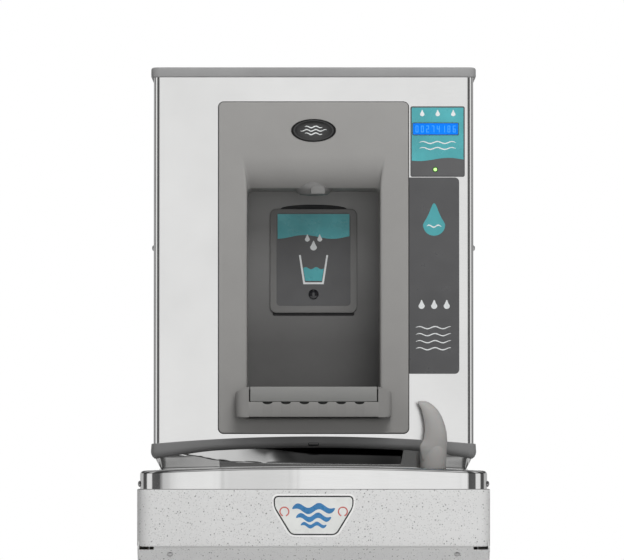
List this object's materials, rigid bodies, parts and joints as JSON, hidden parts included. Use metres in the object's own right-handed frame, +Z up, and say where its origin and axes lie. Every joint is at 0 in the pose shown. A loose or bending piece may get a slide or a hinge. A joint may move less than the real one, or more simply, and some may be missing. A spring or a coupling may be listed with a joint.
{
  "type": "drinking fountain",
  "caption": "Wall-hung barrier-free drinking fountain with a stainless basin, a guarded bubbler and a tall bottle filler with an open alcove above it.",
  "frame": {"origin": "centre of the wall hanger's four bolt holes, on the wall plane", "axes": "+X to the user's right, -Y out of the wall towards the user, +Z up"},
  "size_m": [0.46, 0.4834, 1.041],
  "materials": {
    "stainless": "bright polished stainless sheet",
    "grey_plastic": "moulded warm grey ABS, fine matt grain",
    "grate_plastic": "moulded mid grey ABS",
    "trim_plastic": "moulded grey ABS, satin",
    "guard_elastomer": "soft grey elastomer",
    "granite_coat": "light grey speckled powder coat",
    "label_print": "printed film, teal and dark grey, no wording",
    "badge_enamel": "dark oval with a light edge, plain",
    "lcd": "lit blue display with plain digits",
    "dark_lens": "dark infrared window",
    "galvanised": "galvanised sheet",
    "rubber": "black rubber",
    "black_steel": "black enamel",
    "fins": "bare aluminium",
    "tank_steel": "stainless tank with a copper coil",
    "foam": "moulded foam",
    "copper": "drawn copper tube",
    "brass": "machined brass",
    "valve_plastic": "black moulded plastic",
    "white_plastic": "white moulded plastic",
    "circuit": "green circuit board and potted electronics"
  },
  "bodies": {
    "fountain": {"alcove_moulding": "grey_plastic", "apron": "granite_coat", "apron_label": "label_print", "badge": "badge_enamel", "base_pan": "galvanised", "basin_top": "stainless", "bottle_sensor": "circuit", "bubbler_guard": "guard_elastomer", "bubbler_nut": "brass", "bubbler_stem": "stainless", "bubbler_valve": "valve_plastic", "cabinet_frame": "galvanised", "casing_screws": "stainless", "chiller_tank": "tank_steel", "compressor": "black_steel", "compressor_mounts": "rubber", "condenser_coil": "fins", "display_board": "circuit", "display_panel": "label_print", "display_window": "lcd", "drain_nut": "brass", "drain_strainer": "stainless", "drip_tray": "grey_plastic", "fan_motor": "black_steel", "fan_shroud": "galvanised", "filler_back_plate": "galvanised", "filler_board": "circuit", "filler_cap": "trim_plastic", "filler_trim": "trim_plastic", "filler_valve": "valve_plastic", "filler_wrap": "stainless", "filter_head": "valve_plastic", "flow_regulator": "brass", "label_strip": "label_print", "lower_front_panel": "granite_coat", "nozzle_boss": "grey_plastic", "pad_label": "label_print", "power_box": "galvanised", "power_gland": "valve_plastic", "proximity_sensor": "circuit", "refrigerant_lines": "copper", "rim_gasket": "rubber", "sensor_pad": "grate_plastic", "sensor_window": "dark_lens", "side_panel_left": "granite_coat", "side_panel_right": "granite_coat", "tank_insulation": "foam", "thermostat": "valve_plastic", "under_panel": "granite_coat", "wall_hanger": "galvanised", "waste_pipe": "white_plastic", "water_lines": "copper"},
    "fan": {"fan_rotor": "fins"},
    "grate": {"drip_grate": "grate_plastic"},
    "filler_core": {"filler_plunger": "brass"},
    "bubbler_core": {"bubbler_plunger": "brass"},
    "thermostat_dial": {"thermostat_stem": "valve_plastic"},
    "flow_screw": {"regulator_screw": "brass"},
    "filter": {"filter_cartridge": "white_plastic"}
  },
  "joints": [
    {"name": "fan_spin", "type": "hinge", "parent": "fountain", "child": "fan", "pos_m": [0.111, -0.24, -0.282], "axis": [0, 1, 0], "continuous": true},
    {"name": "grate_lift", "type": "slide", "parent": "fountain", "child": "grate", "axis": [0, 0, 1], "range_m": [0, 0.05]},
    {"name": "filler_valve_lift", "type": "slide", "parent": "fountain", "child": "filler_core", "axis": [0, 0, 1], "range_m": [0, 0.003], "stiffness_N_per_m": 200, "springref_m": -0.002},
    {"name": "bubbler_valve_lift", "type": "slide", "parent": "fountain", "child": "bubbler_core", "axis": [0, 0, 1], "range_m": [0, 0.003], "stiffness_N_per_m": 200, "springref_m": -0.002},
    {"name": "thermostat_turn", "type": "hinge", "parent": "fountain", "child": "thermostat_dial", "pos_m": [-0.025, -0.09, -0.255], "axis": [0, 1, 0], "range_deg": [-135, 135]},
    {"name": "regulator_turn", "type": "hinge", "parent": "fountain", "child": "flow_screw", "pos_m": [0.16, -0.31, 0.02], "axis": [0, 1, 0], "range_deg": [-180, 180]},
    {"name": "filter_turn", "type": "hinge", "parent": "fountain", "child": "filter", "pos_m": [0.166, -0.092, -0.08], "axis": [0, 0, 1], "range_deg": [0, 90]}
  ]
}
